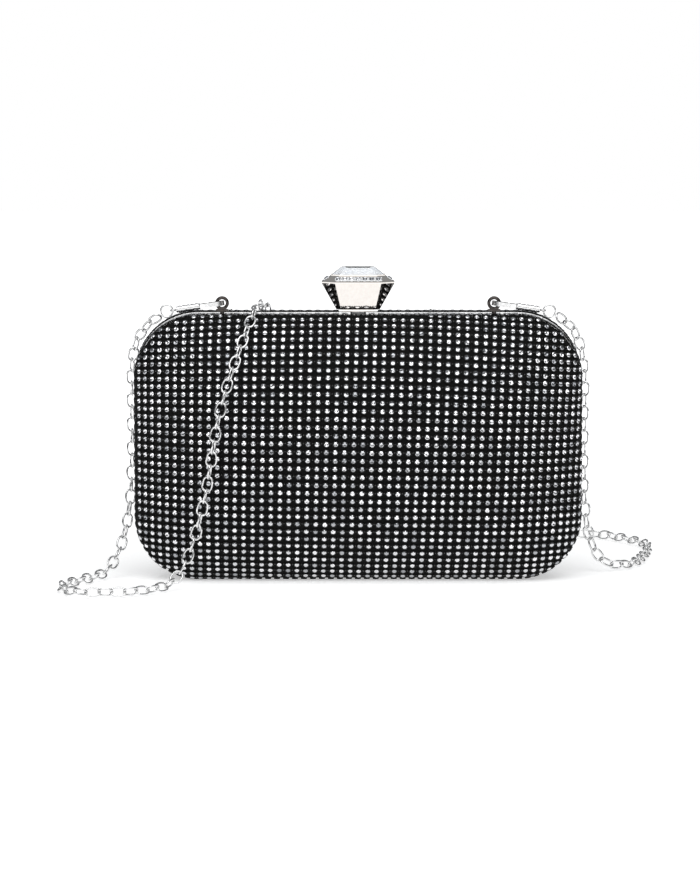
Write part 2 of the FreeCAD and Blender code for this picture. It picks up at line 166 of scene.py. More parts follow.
class Finish:
    """A node material with one Principled shader and short ways to add noise, ramps and bump."""

    def __init__(self, name, **sockets):
        self.material = bpy.data.materials.new(name)
        self.material.use_nodes = True
        self.nodes = self.material.node_tree.nodes
        self.links = self.material.node_tree.links
        self.shader = self.nodes["Principled BSDF"]
        for socket, value in sockets.items():
            self.shader.inputs[socket.replace("_", " ")].default_value = value
        self.place = self.nodes.new("ShaderNodeTexCoord").outputs["Object"]

    def noise(self, scale, detail=3.0, roughness=0.55):
        node = self.nodes.new("ShaderNodeTexNoise")
        node.inputs["Scale"].default_value = scale
        node.inputs["Detail"].default_value = detail
        node.inputs["Roughness"].default_value = roughness
        self.links.new(self.place, node.inputs["Vector"])
        return node.outputs["Fac"]

    def threads(self, scale, direction):
        node = self.nodes.new("ShaderNodeTexWave")
        node.bands_direction = direction
        node.inputs["Scale"].default_value = scale
        node.inputs["Distortion"].default_value = 1.5
        node.inputs["Detail Scale"].default_value = 2.0
        self.links.new(self.place, node.inputs["Vector"])
        return node.outputs["Fac"]

    def island(self):
        return self.nodes.new("ShaderNodeNewGeometry").outputs["Random Per Island"]

    def ramp(self, value, stops):
        node = self.nodes.new("ShaderNodeValToRGB")
        elements = node.color_ramp.elements
        while len(elements) < len(stops):
            elements.new(0.5)
        for element, (position, colour) in zip(elements, stops):
            element.position = position
            element.color = (*colour, 1.0)
        self.links.new(value, node.inputs["Fac"])
        return node.outputs["Color"]

    def combine(self, operation, first, second):
        node = self.nodes.new("ShaderNodeMath")
        node.operation = operation
        for socket, value in zip(node.inputs, (first, second)):
            if isinstance(value, (int, float)):
                socket.default_value = value
            else:
                self.links.new(value, socket)
        return node.outputs["Value"]

    def spread(self, value, low, high):
        node = self.nodes.new("ShaderNodeMapRange")
        node.inputs["To Min"].default_value = low
        node.inputs["To Max"].default_value = high
        self.links.new(value, node.inputs["Value"])
        return node.outputs["Result"]

    def feed(self, socket, value):
        self.links.new(value, self.shader.inputs[socket])

    def bump(self, height, distance, strength=1.0):
        node = self.nodes.new("ShaderNodeBump")
        node.inputs["Distance"].default_value = distance
        node.inputs["Strength"].default_value = strength
        self.links.new(height, node.inputs["Height"])
        self.feed("Normal", node.outputs["Normal"])


def grey(value):
    return (value, value, value)


def metal(name, dark, light, rough_low, rough_high, grain=900.0, bump=0.00001):
    """A polished metal with faint cloudy wear in its colour, roughness and surface."""
    finish = Finish(name, Metallic=1.0)
    cloud = finish.noise(grain)
    finish.feed("Base Color", finish.ramp(cloud, [(0.3, dark), (0.7, light)]))
    finish.feed("Roughness", finish.spread(finish.noise(grain * 0.3), rough_low, rough_high))
    finish.bump(cloud, bump)
    return finish.material


def stone_finish():
    """Foil-backed stones: each one reflects a little more or less than its neighbours."""
    finish = Finish("stone_facets", Metallic=1.0, Coat_Weight=0.3, Coat_Roughness=0.02)
    tones = [(0.0, (0.30, 0.31, 0.33)), (0.3, (0.58, 0.59, 0.61)), (1.0, (0.90, 0.90, 0.92))]
    finish.feed("Base Color", finish.ramp(finish.island(), tones))
    finish.feed("Roughness", finish.spread(finish.noise(1500.0), 0.04, 0.14))
    return finish.material


def enamel_finish(name, dark, pale, rough_low, rough_high, metallic):
    """Black enamel, dull on the cups and glossy on the knobs between the stones."""
    finish = Finish(name, Metallic=metallic, Specular_IOR_Level=0.25)
    cloud = finish.noise(1800.0)
    finish.feed("Base Color", finish.ramp(cloud, [(0.3, grey(dark)), (0.75, grey(pale))]))
    finish.feed("Roughness", finish.spread(cloud, rough_low, rough_high))
    finish.bump(cloud, 0.00004)
    return finish.material


def cloth_finish():
    """Black woven backing between the stones."""
    finish = Finish("black_cloth", Specular_IOR_Level=0.10)
    weave = finish.combine("MULTIPLY", finish.threads(900.0, "X"), finish.threads(900.0, "Z"))
    colour = finish.ramp(weave, [(0.1, grey(0.002)), (0.8, grey(0.016))])
    finish.feed("Base Color", colour)
    finish.feed("Roughness", finish.spread(finish.noise(600.0), 0.65, 0.9))
    finish.bump(weave, 0.00012)
    return finish.material


def satin_finish():
    """Dark grey satin lining with long soft ripples and a fine weave."""
    finish = Finish("lining_satin", Sheen_Weight=0.4, Sheen_Roughness=0.35)
    weave = finish.combine("MULTIPLY", finish.threads(1400.0, "X"), finish.threads(1400.0, "Z"))
    ripple = finish.noise(45.0, detail=2.0)
    height = finish.combine("ADD", finish.combine("MULTIPLY", ripple, 6.0), weave)
    colour = finish.ramp(ripple, [(0.25, (0.020, 0.020, 0.023)), (0.75, (0.055, 0.055, 0.062))])
    finish.feed("Base Color", colour)
    finish.feed("Roughness", finish.spread(weave, 0.32, 0.5))
    finish.bump(height, 0.0001)
    return finish.material


def foam_finish():
    finish = Finish("foam")
    cells = finish.noise(2500.0, detail=5.0)
    finish.feed("Base Color", finish.ramp(cells, [(0.3, (0.30, 0.29, 0.26)), (0.7, (0.55, 0.53, 0.48))]))
    finish.feed("Roughness", finish.spread(cells, 0.8, 1.0))
    finish.bump(cells, 0.0002)
    return finish.material


def board_finish():
    finish = Finish("shell_board")
    fibres = finish.noise(700.0, detail=6.0, roughness=0.7)
    finish.feed("Base Color", finish.ramp(fibres, [(0.3, (0.16, 0.14, 0.12)), (0.7, (0.26, 0.23, 0.19))]))
    finish.feed("Roughness", finish.spread(fibres, 0.7, 0.95))
    finish.bump(fibres, 0.0001)
    return finish.material


def crystal_finish():
    """Clear cut crystal with a very faint haze."""
    finish = Finish("crystal", Transmission_Weight=1.0, IOR=1.56)
    haze = finish.noise(300.0)
    finish.feed("Base Color", finish.ramp(haze, [(0.3, (0.93, 0.96, 1.0)), (0.7, grey(1.0))]))
    finish.feed("Roughness", finish.spread(haze, 0.0, 0.015))
    return finish.material


def foil_finish():
    """The bright foil behind the clasp's crystal."""
    finish = Finish("crystal_foil", Metallic=0.1)
    cloud = finish.noise(400.0)
    finish.feed("Base Color", finish.ramp(cloud, [(0.3, (0.92, 0.95, 0.98)), (0.7, (0.97, 0.98, 1.0))]))
    finish.feed("Roughness", finish.spread(cloud, 0.30, 0.45))
    return finish.material


def floor_finish():
    """Pale matt floor with a painted glow: it emits at 0.44 near the object, which lifts the shadow under it,
    and rises to full strength far from it, so that it has no horizon.
    """
    finish = Finish("pale_floor", Roughness=0.9, Specular_IOR_Level=0.1)
    finish.feed("Base Color", finish.ramp(finish.noise(30.0), [(0.3, grey(0.90)), (0.7, grey(0.92))]))
    length = finish.nodes.new("ShaderNodeVectorMath")
    length.operation = "LENGTH"
    finish.links.new(finish.place, length.inputs[0])
    # Painted glow: emission that lifts the shadow near the object and hides the horizon far from it.
    glow = finish.nodes.new("ShaderNodeMapRange")
    glow.interpolation_type = "SMOOTHSTEP"
    glow.inputs["From Min"].default_value = 0.25
    glow.inputs["From Max"].default_value = 0.6
    glow.inputs["To Min"].default_value = 0.44
    finish.links.new(length.outputs["Value"], glow.inputs["Value"])
    finish.shader.inputs["Emission Color"].default_value = (1, 1, 1, 1)
    finish.feed("Emission Strength", glow.outputs["Result"])
    return finish.material


# ---- Meshes ---------------------------------------------------------------------------------

def piece(name, points, faces, material, body, smooth=True):
    """A mesh that rides on a CAD body, when one is given, and takes the finish it is given."""
    mesh = bpy.data.meshes.new(name)
    mesh.from_pydata(np.asarray(points).tolist(), [], np.asarray(faces, dtype=object).tolist())
    mesh.materials.append(material)
    if smooth:
        mesh.shade_smooth()
    obj = bpy.data.objects.new(name, mesh)
    bpy.context.scene.collection.objects.link(obj)
    if body:
        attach(obj, body)
    return obj


def weld(obj, distance=0.00002):
    """Joins points that lie on each other and turns the faces outwards."""
    work = bmesh.new()
    work.from_mesh(obj.data)
    bmesh.ops.remove_doubles(work, verts=work.verts, dist=distance)
    bmesh.ops.dissolve_degenerate(work, edges=work.edges, dist=distance / 4)
    bmesh.ops.recalc_face_normals(work, faces=work.faces)
    work.to_mesh(obj.data)
    work.free()
    return obj


def grid_faces(rows, columns, start=0, closed=False):
    """Quads between rows of points; closed joins the last column to the first."""
    faces = []
    for row in range(rows - 1):
        for column in range(columns if closed else columns - 1):
            after = (column + 1) % columns
            near = start + row * columns
            far = near + columns
            faces.append([near + column, near + after, far + after, far + column])
    return faces


def normalised(vectors):
    return vectors / np.linalg.norm(vectors, axis=-1, keepdims=True)


# ---- The pillow shape -----------------------------------------------------------------------

ARC_STEPS = 9
LONG_STEPS = 26
SHORT_STEPS = 13


def corner_radius(inset):
    return np.minimum(OUTLINE_RADIUS - CORNER_TAPER * inset,
                      np.maximum(HALF_Z - inset - 0.0005, 0.0))


def outline(inset, scale=1):
    """Points (x, z) round the bag's outline moved inwards by inset, starting at the right."""
    half_x = HALF_X - inset
    half_z = HALF_Z - inset
    radius = float(corner_radius(inset))
    corners = []
    for number, (sx, sz) in enumerate([(1, 1), (-1, 1), (-1, -1), (1, -1)]):
        centre = np.array([sx * (half_x - radius), sz * (half_z - radius)])
        angles = math.pi / 2 * (number + np.linspace(0, 1, ARC_STEPS * scale + 1))
        corners.append(centre + radius * np.stack([np.cos(angles), np.sin(angles)], axis=1))
    points = []
    for number, corner in enumerate(corners):
        after = corners[(number + 1) % 4]
        steps = (LONG_STEPS if number % 2 == 0 else SHORT_STEPS) * scale
        shares = np.linspace(0, 1, steps + 1)[1:-1, None]
        points.append(corner)
        points.append(corner[-1] + (after[0] - corner[-1]) * shares)
    points = np.concatenate(points)
    points[:, 1] += HALF_Z
    return points


def swollen_rings(layer, side):
    """Rings of points over one half's face at a depth below the stones, from seam to middle."""
    flat = outline(layer)
    rings = [np.insert(flat, 1, side * LAYER_START_Y, axis=1)]
    for angle in np.radians([0, 4, 8, 12, 17, 22, 28, 34, 40, 46, 52, 58, 64, 70, 76, 83, 90]):
        inset = layer + (HALF_Z - layer) * (1 - math.cos(angle))
        y = EDGE_HALF + (CROWN - layer) * math.sin(angle) ** SWELL_POWER
        rings.append(np.insert(outline(inset), 1, side * y, axis=1))
    return rings


def half_layer(name, outer, inner, side, material, body, slot, drop=0.0):
    """A closed shell of one half between two depths below the stones."""
    rings = swollen_rings(inner, side)[::-1] + swollen_rings(outer, side)
    columns = len(rings[0])
    points = np.concatenate(rings)
    points[:, 2] *= 1 - drop / HEIGHT
    obj = piece(name, points, grid_faces(len(rings), columns, closed=True), material, body)
    return weld(obj)


def outline_distance(x, z, inset):
    """How far inside the outline at that inset each point lies."""
    radius = corner_radius(inset)
    past_x = np.abs(x) - (HALF_X - inset - radius)
    past_z = np.abs(z - HALF_Z) - (HALF_Z - inset - radius)
    outside = np.hypot(np.maximum(past_x, 0), np.maximum(past_z, 0))
    return radius - outside - np.minimum(np.maximum(past_x, past_z), 0)


def inset_at(x, z):
    """The inset whose outline passes through each point, found by halving."""
    low = np.zeros_like(x)
    high = np.full_like(x, HALF_Z)
    for _ in range(30):
        middle = (low + high) / 2
        inside = outline_distance(x, z, middle) > 0
        low = np.where(inside, middle, low)
        high = np.where(inside, high, middle)
    return low


def face_depth(x, z, layer=0.0):
    """The |y| of the swollen face above each point (x, z)."""
    share = 1 - np.clip((inset_at(x, z) - layer) / (HALF_Z - layer), 0, 1)
    return EDGE_HALF + (CROWN - layer) * (1 - share ** 2) ** (SWELL_POWER / 2)


def arc_table(depth_at, reach):
    """Lengths along the surface from the middle outwards, with the place of each."""
    across = np.linspace(0, reach, 600)
    steps = np.hypot(np.diff(across), np.diff(depth_at(across)))
    along = np.concatenate([[0], np.cumsum(steps)])
    return along, across


def lattice():
    """The stones of a face as (x, z), in bowed rows and slightly leaning columns."""
    long_table = arc_table(lambda x: face_depth(x, np.full_like(x, HALF_Z)), HALF_X)
    short_table = arc_table(lambda z: face_depth(np.zeros_like(z), z + HALF_Z), HALF_Z)
    columns = np.arange(-32, 33) * COLUMN_PITCH
    rows = np.arange(-22, 23) * ROW_PITCH
    across, up = [part.ravel() for part in np.meshgrid(columns, rows)]
    height = np.clip(up / HALF_Z, -1, 1)
    bow = (np.clip(np.abs(across), 0, HALF_X) / BOW_REACH) ** 2
    lean = COLUMN_LEAN * up
    up = up - BOW_TOP * bow * np.clip(height, 0, 1) + BOW_BOTTOM * bow * np.clip(-height, 0, 1)
    up = up - ROW_SLOPE * across
    across = across * (1 + COLUMN_SPREAD * height) - COLUMN_SHIFT + lean
    x = np.sign(across) * np.interp(np.abs(across), *long_table, right=2 * HALF_X)
    z = HALF_Z + np.sign(up) * np.interp(np.abs(up), *short_table, right=HALF_Z * 1.2)
    return x, z


def face_places(side):
    """Centres and outward directions of the stones on a half's swollen face."""
    x, z = lattice()
    kept = outline_distance(x, z, 0.0) > EDGE_GAP
    x, z = x[kept], z[kept]
    step = 0.0001
    y = face_depth(x, z)
    slope_x = (face_depth(x + step, z) - face_depth(x - step, z)) / (2 * step)
    slope_z = (face_depth(x, z + step) - face_depth(x, z - step)) / (2 * step)
    centres = np.stack([x, side * y, z], axis=1)
    outward = normalised(np.stack([-slope_x, np.full_like(x, side), -slope_z], axis=1))
    return centres, outward


def ring_places(side, y):
    """Centres and outward directions of a row of stones round the bag's flat edge."""
    line = outline(0.0, scale=4)
    closed = np.concatenate([line, line[:1]])
    along = np.concatenate([[0], np.cumsum(np.linalg.norm(np.diff(closed, axis=0), axis=1))])
    count = round(along[-1] / RING_PITCH)
    stops = (np.arange(count) + 0.5 * (y > 0.004)) * along[-1] / count
    x, z = [np.interp(stops, along, closed[:, axis]) for axis in (0, 1)]
    ahead_x, ahead_z = [np.interp((stops + 0.0002) % along[-1], along, closed[:, axis]) for axis in (0, 1)]
    outward = normalised(np.stack([ahead_z - z, np.zeros_like(x), x - ahead_x], axis=1))
    return np.stack([x, np.full_like(x, side * y), z], axis=1), outward


def clear_of_metal(centres, side):
    """True where a stone of the edge rows stays clear of the clasp, the eyes and the hinges."""
    clear = np.ones(len(centres), dtype=bool)
    for node in ("clasp_base", "chain_eye_left", "chain_eye_right"):
        low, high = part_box(node)
        behind = TILT_ROOM if side > 0 and node == "clasp_base" else METAL_ROOM_Y
        for axis, room in ((0, METAL_ROOM_X), (1, behind)):
            inside = (centres[:, axis] > low[axis] - room) & (centres[:, axis] < high[axis] + room)
            blocked = inside if axis == 0 else blocked & inside
        clear &= ~(blocked & (centres[:, 2] > HALF_Z))
    near_seam = np.abs(centres[:, 1]) < HINGE_CLEAR_Y
    clear &= ~(near_seam & (centres[:, 2] < HINGE_CLEAR_Z))
    return clear


def stone_places(side):
    """All the stones of one half."""
    rings = [ring_places(side, y) for y in RING_YS]
    ring_centres = np.concatenate([centres for centres, _ in rings])
    ring_outward = np.concatenate([outward for _, outward in rings])
    centres, outward = face_places(side)
    nearest = np.full(len(centres), 1.0)
    for centre in ring_centres:
        nearest = np.minimum(nearest, np.linalg.norm(centres - centre, axis=1))
    kept = nearest > RING_CLEAR
    centres = np.concatenate([centres[kept], ring_centres])
    outward = np.concatenate([outward[kept], ring_outward])
    clear = clear_of_metal(centres, side)
    return centres[clear], outward[clear]


def frames_for(outward, tilt=0.0, spin=True):
    """Three directions for each place: two across it and one outwards, tilted a little."""
    outward = normalised(outward + rng.normal(0, tilt, outward.shape))
    helper = np.where(np.abs(outward[:, 2:]) > 0.9, [[1.0, 0, 0]], [[0, 0, 1.0]])
    across = normalised(np.cross(helper, outward))
    upward = np.cross(outward, across)
    if spin:
        angle = rng.uniform(0, 2 * math.pi, len(outward))[:, None]
        across, upward = (across * np.cos(angle) + upward * np.sin(angle),
                          upward * np.cos(angle) - across * np.sin(angle))
    return np.stack([across, upward, outward], axis=1)


def stamped(name, shape, centres, frames, material, body, smooth=False, drop=0.0):
    """Copies one small shape to many places as one piece."""
    local, faces = shape
    points = centres[:, None, :] + np.einsum("pk,nkc->npc", local, frames)
    points = points.reshape(-1, 3)
    points[:, 2] *= 1 - drop / HEIGHT
    count = len(local)
    all_faces = [[index + place * count for index in face] for place in range(len(centres)) for face in faces]
    return piece(name, points, all_faces, material, body, smooth)


def circle(radius, height, sides, turn=0.0):
    angles = (np.arange(sides) + turn) * 2 * math.pi / sides
    return np.stack([radius * np.cos(angles), radius * np.sin(angles), np.full(sides, height)], axis=1)


def cut_stone(radius, sides=8):
    """A low faceted stone: girdle, a zigzag of crown facets and a dished, faceted top."""
    points = np.concatenate([circle(radius, -0.38 * radius, sides),
                             circle(radius, 0.0, sides),
                             circle(radius * 0.62, 0.30 * radius, sides, 0.5),
                             circle(0.0, 0.16 * radius, 1)])
    faces = grid_faces(2, sides, closed=True)
    for side in range(sides):
        after = (side + 1) % sides
        faces.append([sides + side, sides + after, 2 * sides + side])
        faces.append([2 * sides + side, sides + after, 2 * sides + after])
        faces.append([2 * sides + side, 2 * sides + after, 3 * sides])
    return points, faces


def cup(inner, outer, low, high, sides=10):
    """A short collar that holds a stone."""
    points = np.concatenate([circle(outer, low, sides), circle(outer * 0.94, high, sides),
                             circle(inner, high, sides), circle(inner * 0.96, low, sides)])
    return points, grid_faces(4, sides, closed=True)


def knob(radius, sides=7):
    """A small domed bead."""
    points = np.concatenate([circle(radius, 0.0, sides), circle(radius * 0.8, radius * 0.6, sides),
                             circle(radius * 0.35, radius * 0.95, sides)])
    return points, grid_faces(3, sides, closed=True) + [[2 * sides + side for side in range(sides)]]


def notched(obj, side):
    """Draws a layer's edge back from the seam at the latch and at the hinge knuckles."""
    for vertex in obj.data.vertices:
        x, y, z = vertex.co
        if abs(x) < LATCH_NOTCH_X and abs(y) < NOTCH_Y and z > LATCH_NOTCH_Z:
            vertex.co.y = side * NOTCH_Y
        if HINGE_NOTCH_X[0] < abs(x) < HINGE_NOTCH_X[1] and abs(y) < NOTCH_Y and z < HINGE_NOTCH_Z:
            vertex.co.y = side * NOTCH_Y
    return obj


def make_cover(name, side, body, drop, materials):
    """The stone-covered face of one half: cloth, cups, stones and the knobs between them."""
    cloth = half_layer(name + "_cloth", COVER_BASE, COVER_BACK, side, materials["cloth"], body,
                       "stone_cover", drop=drop)
    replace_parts(notched(cloth, side), name + "_cover")
    centres, outward = stone_places(side)
    seats = centres - outward * SEAT_DEPTH
    flat_frames = frames_for(outward, spin=False)
    shape = cup(STONE_RADIUS * 0.97, CUP_OUTER, -0.0005, CUP_RIM)
    stamped(name + "_cups", shape, seats, flat_frames, materials["enamel"], body,
            drop=drop)
    stamped(name + "_stones", cut_stone(STONE_RADIUS), seats, frames_for(outward, STONE_TILT),
            materials["stone"], body, drop=drop)
    knobs = seats + flat_frames[:, 0] * COLUMN_PITCH / 2 + flat_frames[:, 1] * 0.0003 - outward * 0.0001
    above = knobs[:, 2] > KNOB_RADIUS + 0.0003
    stamped(name + "_knobs", knob(KNOB_RADIUS), knobs[above], flat_frames[above], materials["knob"], body,
            smooth=True, drop=drop)


# ---- Inside the bag -------------------------------------------------------------------------

def make_padding(name, side, body, material):
    """The thin foam under the cover, a little uneven as glued foam is."""
    pad = half_layer(name + "_foam", *PADDING, side, material, body, "foam")
    for vertex in pad.data.vertices:
        x, y, z = vertex.co
        wave = math.sin(x * 330) * math.sin(z * 410 + 1.3)
        vertex.co.y += 0.00006 * wave
    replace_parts(notched(pad, side), name + "_padding")


def make_lining(name, side, body, material):
    """Satin glued inside the shell; its ripples are in the material."""
    lining = half_layer(name + "_satin", *LINING, side, material, body, "lining_satin")
    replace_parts(lining, name + "_lining")


def cloth_strip(name, rows, thickness, material):
    """A thin sheet through rows of points."""
    rows = np.asarray(rows)
    count, columns = rows.shape[:2]
    obj = piece(name, rows.reshape(-1, 3), grid_faces(count, columns), material, None)
    solid = obj.modifiers.new("thickness", "SOLIDIFY")
    solid.thickness = thickness
    solid.offset = 0
    return obj


def make_slip_pocket(material):
    """A flat satin pocket on the rear half, its top hem bowed a little towards the mouth."""
    low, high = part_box("rear_slip_pocket")
    y = (low[1] + high[1]) / 2
    rows = []
    for share in np.linspace(0, 1, 28):
        z = low[2] + (high[2] - low[2]) * share
        xs = np.linspace(low[0], high[0], 50)
        sag = 0.0016 * share ** 3 * np.cos(xs / high[0] * math.pi / 2)
        pucker = 0.00018 * share * np.sin(xs * 900)
        rows.append(np.stack([xs, y - sag + pucker, np.full_like(xs, z)], axis=1))
    pocket = cloth_strip("slip_pocket_satin", rows, 0.0004, material)
    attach(pocket, "rear_half")
    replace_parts(pocket, "rear_slip_pocket")


def make_gusset(side_name, material):
    """A folded side gusset between the halves, in narrow pleats."""
    node = "gusset_" + side_name
    low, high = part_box(node)
    outer_x, inner_x = (high[0], low[0]) if side_name == "right" else (low[0], high[0])
    pleats = 3
    steps = 12
    turns = np.linspace(0, 2 * pleats * math.pi, 2 * pleats * steps + 1)
    ys = np.linspace(low[1] + 0.0004, high[1] - 0.0004, len(turns))
    inward = (1 - np.cos(turns)) / 2
    rows = []
    for z in np.linspace(low[2], high[2], 24):
        xs = outer_x + (inner_x - outer_x) * inward * 0.92
        rows.append(np.stack([xs, ys, np.full_like(xs, z)], axis=1))
    gusset = cloth_strip(node + "_satin", rows, 0.0003, material)
    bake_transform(gusset)
    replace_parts(gusset, node)


# ---- Chain ----------------------------------------------------------------------------------

def route_curve(name, first, final):
    """The NURBS spline of one length of the strap, between the middles of two runs."""
    corners = [Vector(point) for point in ROUTE]
    last_run = len(corners) - 1
    start = corners[0] if first == 0 else (corners[first] + corners[first + 1]) / 2
    end = corners[-1] if final == last_run else (corners[final] + corners[final + 1]) / 2
    inner = corners[first + 1:min(final + 1, last_run)]
    route = [start] + inner + [end]
    curve = bpy.data.curves.new(name + "_line", "CURVE")
    curve.dimensions = "3D"
    spline = curve.splines.new("NURBS")
    spline.points.add(len(route) - 1)
    for point, place in zip(spline.points, route):
        point.co = (*place, 1)
    spline.order_u = 3
    spline.use_endpoint_u = True
    spline.resolution_u = 24
    return curve


def sampled(curve):
    """Points read from a curve with no bevel."""
    holder = bpy.data.objects.new(curve.name, curve)
    bpy.context.scene.collection.objects.link(holder)
    bpy.context.view_layer.update()
    mesh = bpy.data.meshes.new_from_object(holder)
    points = np.array([vertex.co for vertex in mesh.vertices])
    bpy.data.objects.remove(holder)
    bpy.data.meshes.remove(mesh)
    return points


def carried_directions(tangents, first):
    """A direction square to each tangent, carried along the line without twist."""
    directions = [first]
    for tangent in tangents[1:]:
        carried = directions[-1] - tangent * np.dot(directions[-1], tangent)
        directions.append(carried / np.linalg.norm(carried))
    return np.array(directions)


def link_shape(around=22, section=8):
    """One oval wire link, long in its first direction and flat in its third."""
    half_long = (LINK_LENGTH - LINK_WIRE) / 2
    half_wide = (LINK_WIDTH - LINK_WIRE) / 2
    straight = half_long - half_wide
    rows = []
    for turn in np.linspace(0, 2 * math.pi, around, endpoint=False):
        middle = np.array([half_wide * math.cos(turn), half_wide * math.sin(turn), 0.0])
        outward = middle / half_wide
        middle[0] += straight * math.tanh(3 * math.cos(turn)) / math.tanh(3)
        for angle in np.linspace(0, 2 * math.pi, section, endpoint=False):
            spread = outward * math.cos(angle) + np.array([0, 0, math.sin(angle)])
            rows.append(middle + spread * LINK_WIRE / 2)
    faces = []
    for row in range(around):
        for column in range(section):
            after_row, after_column = (row + 1) % around, (column + 1) % section
            faces.append([row * section + column, after_row * section + column,
                          after_row * section + after_column, row * section + after_column])
    return np.array(rows), faces


def chain_links(line):
    """Centres and directions of the links along a line, about one pitch apart."""
    steps = np.linalg.norm(np.diff(line, axis=0), axis=1)
    along = np.concatenate([[0], np.cumsum(steps)])
    count = round(along[-1] / LINK_PITCH)
    stops = (np.arange(count) + 0.5) * along[-1] / count
    before, after = [np.stack([np.interp(stops + shift, along, line[:, axis]) for axis in range(3)], axis=1)
                     for shift in (-LINK_PITCH / 2, LINK_PITCH / 2)]
    return (before + after) / 2, normalised(after - before)


def make_chain(material):
    """Every link of the strap, in the CAD model's four lengths, with the roll shared out evenly."""
    lines = [sampled(route_curve(name, first, final)) for name, first, final, _ in CHAIN_PARTS]
    parts = [chain_links(line) for line in lines]
    centres = np.concatenate([part[0] for part in parts])
    tangents = np.concatenate([part[1] for part in parts])
    lying = np.flatnonzero((centres[:, 2] < LYING_Z + 0.0002) & (centres[:, 0] < 0))
    middle = lying[len(lying) // 2]
    upright = np.array([0.0, 0.0, 1.0])
    backwards = carried_directions(tangents[middle::-1], upright)[::-1]
    forwards = carried_directions(tangents[middle:], upright)
    ups = np.concatenate([backwards[:-1], forwards])
    lying_right = np.flatnonzero((centres[:, 2] < LYING_Z + 0.0002) & (centres[:, 0] > 0.02))
    far = lying_right[0]
    sideways = np.cross(tangents[far], ups[far])
    error = math.atan2(np.dot(upright, sideways), np.dot(upright, ups[far]))
    error = (error + math.pi / 4) % (math.pi / 2) - math.pi / 4
    rolls = error * np.clip((np.arange(len(centres)) - middle) / (far - middle), 0, 1)
    rolls += np.where(np.arange(len(centres)) % 2, math.pi / 4, -math.pi / 4)
    rolls += rng.normal(0, 0.10, len(centres))
    across = np.cross(tangents, ups)
    sides = ups * np.cos(rolls)[:, None] + across * np.sin(rolls)[:, None]
    frames = np.stack([tangents, np.cross(sides, tangents), sides], axis=1)
    shape = link_shape()
    start = 0
    for (name, first, final, length), line, part in zip(CHAIN_PARTS, lines, parts):
        end = start + len(part[0])
        body = None if name in ("chain_crossing", "chain_rear_drop") else "root"
        links = stamped(name + "_links", shape, centres[start:end], frames[start:end], material, body,
                        smooth=True)
        if name == "chain_crossing":
            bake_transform(links)
        if name == "chain_rear_drop":
            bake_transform(links)
        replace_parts(links, name)
        start = end


# ---- Clasp stones ---------------------------------------------------------------------------

def octagon(half_x, half_y, corner, z):
    """Points of a rectangle with cut corners."""
    quarter = [(half_x, half_y - corner), (half_x - corner, half_y)]
    points = []
    for sx, sy in ((1, 1), (-1, 1), (-1, -1), (1, -1)):
        corner_points = [(sx * x, sy * y, z) for x, y in quarter]
        points += corner_points if sx * sy > 0 else corner_points[::-1]
    return np.array(points)


def make_crystal_foil(material):
    """A stepped foil inside the bottom of the crystal, which makes it bright."""
    low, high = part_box("clasp_crystal")
    half_x, half_y = high[0], high[1]
    rings = [octagon(half_x - 0.0004, half_y - 0.0004, 0.0031, low[2] + 0.00005),
             octagon(half_x * 0.72, half_y * 0.62, 0.0022, low[2] + 0.0009),
             octagon(half_x * 0.45, half_y * 0.28, 0.0010, low[2] + 0.0014)]
    faces = grid_faces(3, 8, closed=True) + [list(range(16, 24))]
    piece("crystal_foil", np.concatenate(rings), faces, material, "clasp", smooth=False)


def make_pave(materials):
    """Small stones in rows along the clasp's four sloping crown faces, with beads between them."""
    middle_z = (GIRDLE_TOP_Z + BEZEL_Z) / 2
    rise = BEZEL_Z - GIRDLE_TOP_Z
    centres, outward, across = [], [], []
    rows = [(GIRDLE_HALF[1], CROWN_HALF[1], *PAVE_LONG_ROW, 0),
            (GIRDLE_HALF[0], CROWN_HALF[0], *PAVE_SHORT_ROW, 90)]
    for low_half, high_half, count, pitch, quarter in rows:
        run = low_half - high_half
        slope = math.hypot(run, rise)
        for half_turn in (0, 180):
            turn = math.radians(quarter + half_turn)
            direction = np.array([math.sin(turn), -math.cos(turn), 0.0])
            along = np.array([math.cos(turn), math.sin(turn), 0.0])
            normal = direction * rise / slope + np.array([0, 0, run / slope])
            middle = direction * (low_half + high_half) / 2 + np.array([0, 0, middle_z])
            for number in range(count):
                centres.append(middle + along * (number - (count - 1) / 2) * pitch)
                outward.append(normal)
                across.append(along * pitch / 2)
    centres, outward, across = np.array(centres), np.array(outward), np.array(across)
    stones = stamped("clasp_pave", cut_stone(PAVE_RADIUS), centres + outward * 0.0003,
                     frames_for(outward, 0.05), materials["stone"], "clasp")
    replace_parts(stones, "clasp_pave_stones")
    collar = cup(PAVE_RADIUS * 0.95, PAVE_RADIUS * 1.27, -0.0001, 0.00020)
    stamped("clasp_pave_collars", collar, centres, frames_for(outward, spin=False), materials["foil"],
            "clasp")
    upward = np.cross(outward, normalised(across))
    beads = np.concatenate([centres + across + upward * shift for shift in (-0.0010, 0.0010)])
    bead_frames = frames_for(np.concatenate([outward, outward]), spin=False)
    stamped("clasp_pave_beads", knob(PAVE_BEAD_RADIUS), beads, bead_frames, materials["foil"], "clasp",
            smooth=True)


# ---- CAD pieces that stay -------------------------------------------------------------------

def paint(material, *nodes):
    """Gives carried-over CAD nodes a finish."""
    for node in nodes:
        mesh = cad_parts[node].data
        mesh.materials.clear()
        mesh.materials.append(material)


